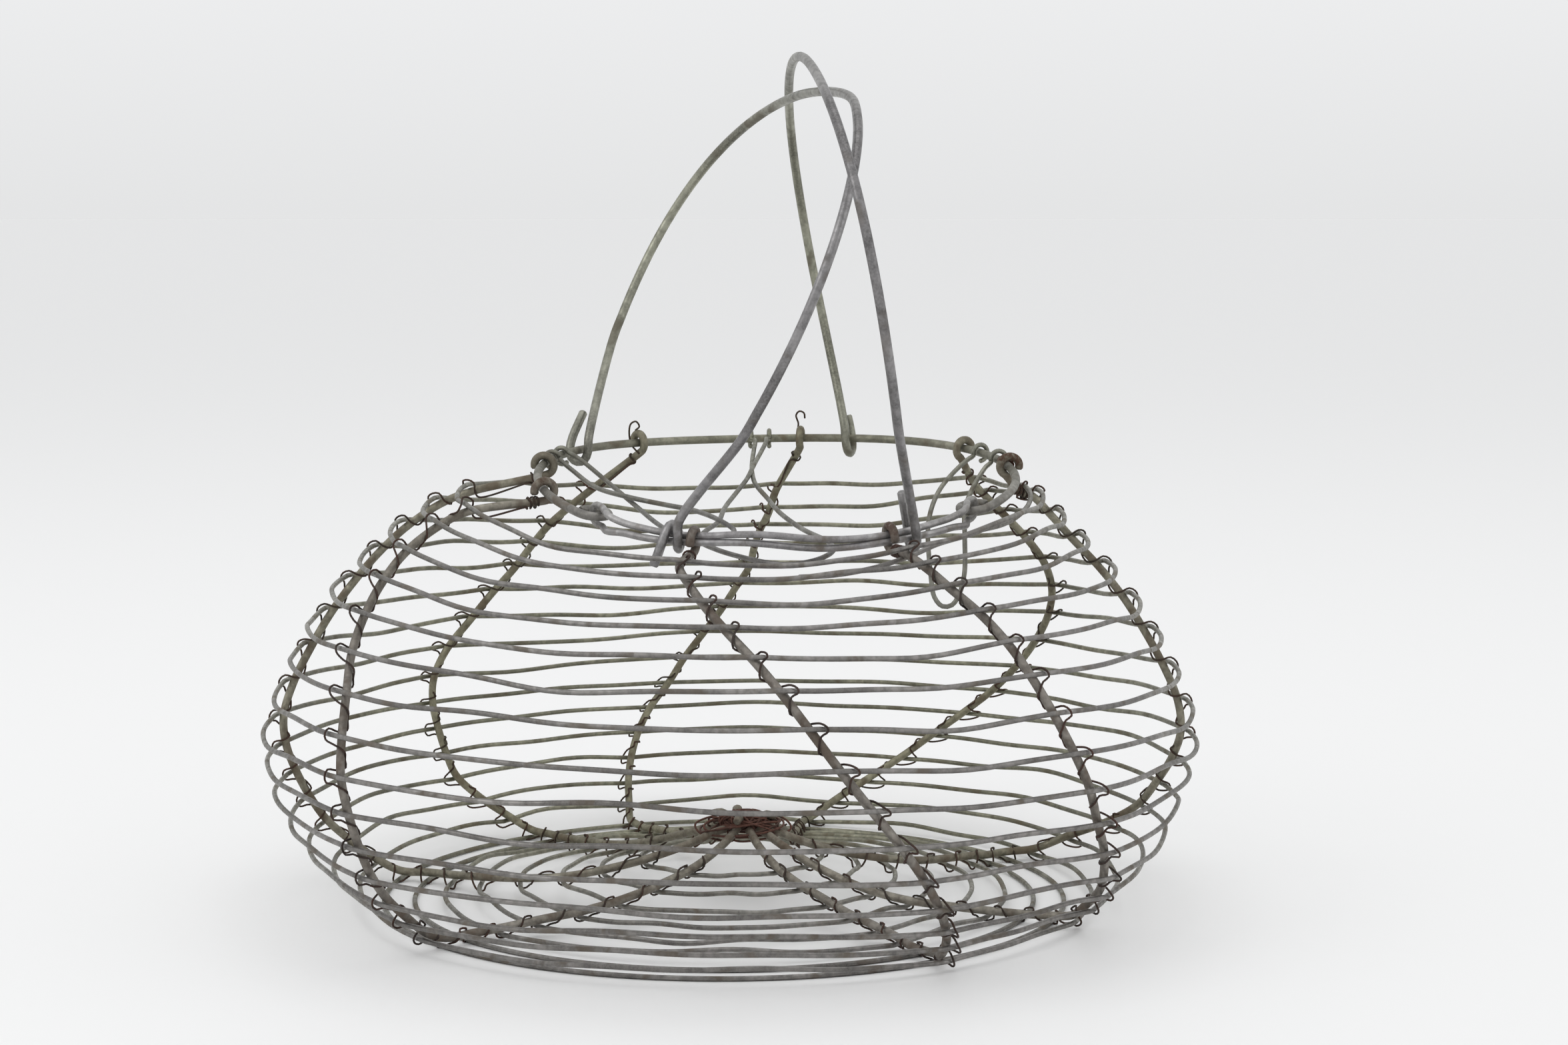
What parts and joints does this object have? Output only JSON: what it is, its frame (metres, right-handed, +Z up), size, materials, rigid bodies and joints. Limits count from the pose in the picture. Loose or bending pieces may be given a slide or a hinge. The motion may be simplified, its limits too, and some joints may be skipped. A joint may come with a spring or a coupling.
{
  "type": "wire gathering basket",
  "caption": "Round wire gathering basket with ribs, a spiral side wire, a raised floor, two swinging bail handles and hinged wire flaps over the mouth.",
  "frame": {"origin": "on the ground under the middle of the basket", "axes": "+Z up; -Y is the basket's front, where the rim is closed by the two-strand link; +X is to the right seen from the front"},
  "size_m": [0.3101, 0.3087, 0.2765],
  "materials": {
    "rusty_binding_wire": "dull, dark rust over old iron wire",
    "side_wire": "aged zinc, satin, mottled",
    "frame_wire": "aged zinc, dull, brown patches",
    "bail_wire": "aged zinc, satin, worn brighter on the bends",
    "flap_wire": "aged zinc, satin"
  },
  "bodies": {
    "basket": {"rim_hoop": "frame_wire", "rim_front_link": "flap_wire", "rib_left": "frame_wire", "rib_front_left": "frame_wire", "rib_front": "frame_wire", "rib_front_right": "frame_wire", "rib_right": "frame_wire", "rib_back_right": "frame_wire", "rib_back": "frame_wire", "rib_back_left": "frame_wire", "side_wire_turn_01": "side_wire", "side_wire_turn_02": "side_wire", "side_wire_turn_03": "side_wire", "side_wire_turn_04": "side_wire", "side_wire_turn_05": "side_wire", "side_wire_turn_06": "side_wire", "side_wire_turn_07": "side_wire", "side_wire_turn_08": "side_wire", "side_wire_turn_09": "side_wire", "side_wire_turn_10": "side_wire", "side_wire_turn_11": "side_wire", "side_wire_turn_12": "side_wire", "side_wire_turn_13": "side_wire", "side_wire_turn_14": "side_wire", "side_wire_turn_15": "side_wire", "side_wire_turn_16": "side_wire", "side_wire_turn_17": "side_wire", "side_wire_turn_18": "side_wire", "side_wire_turn_19": "side_wire", "side_wire_turn_20": "side_wire", "side_wire_turn_21": "side_wire", "side_wire_turn_22": "side_wire", "side_wire_turn_23": "side_wire", "side_wire_turn_24": "side_wire", "lashing_left": "rusty_binding_wire", "lashing_front_left": "rusty_binding_wire", "lashing_front": "rusty_binding_wire", "lashing_front_right": "rusty_binding_wire", "lashing_right": "rusty_binding_wire", "lashing_back_right": "rusty_binding_wire", "lashing_back": "rusty_binding_wire", "lashing_back_left": "rusty_binding_wire", "hub_tie": "rusty_binding_wire"},
    "bail_left": {"bail_left": "bail_wire"},
    "bail_right": {"bail_right": "bail_wire"},
    "flap_back": {"flap_back": "flap_wire"},
    "flap_left": {"flap_left": "flap_wire"},
    "flap_right": {"flap_right": "flap_wire"}
  },
  "joints": [
    {"name": "bail_left_swing", "type": "hinge", "parent": "basket", "child": "bail_left", "pos_m": [-0.03443, -0.01511, 0.13571], "axis": [0.289, -0.9453, -0.1511], "range_deg": [0, 85]},
    {"name": "bail_right_swing", "type": "hinge", "parent": "basket", "child": "bail_right", "pos_m": [0.04813, 0.00304, 0.13685], "axis": [-0.0907, 0.9876, 0.1284], "range_deg": [0, 65]},
    {"name": "flap_back_hinge", "type": "hinge", "parent": "basket", "child": "flap_back", "pos_m": [0.01024, 0.07785, 0.14603], "axis": [0.9981, 0.061, 0.0004], "range_deg": [0, 55]},
    {"name": "flap_left_hinge", "type": "hinge", "parent": "basket", "child": "flap_left", "pos_m": [-0.0583, 0.02668, 0.14352], "axis": [-0.3408, -0.9363, -0.0853], "range_deg": [0, 100]},
    {"name": "flap_right_hinge", "type": "hinge", "parent": "basket", "child": "flap_right", "pos_m": [0.08732, 0.02922, 0.14374], "axis": [-0.3734, 0.9242, 0.0804], "range_deg": [-35, 35]}
  ]
}
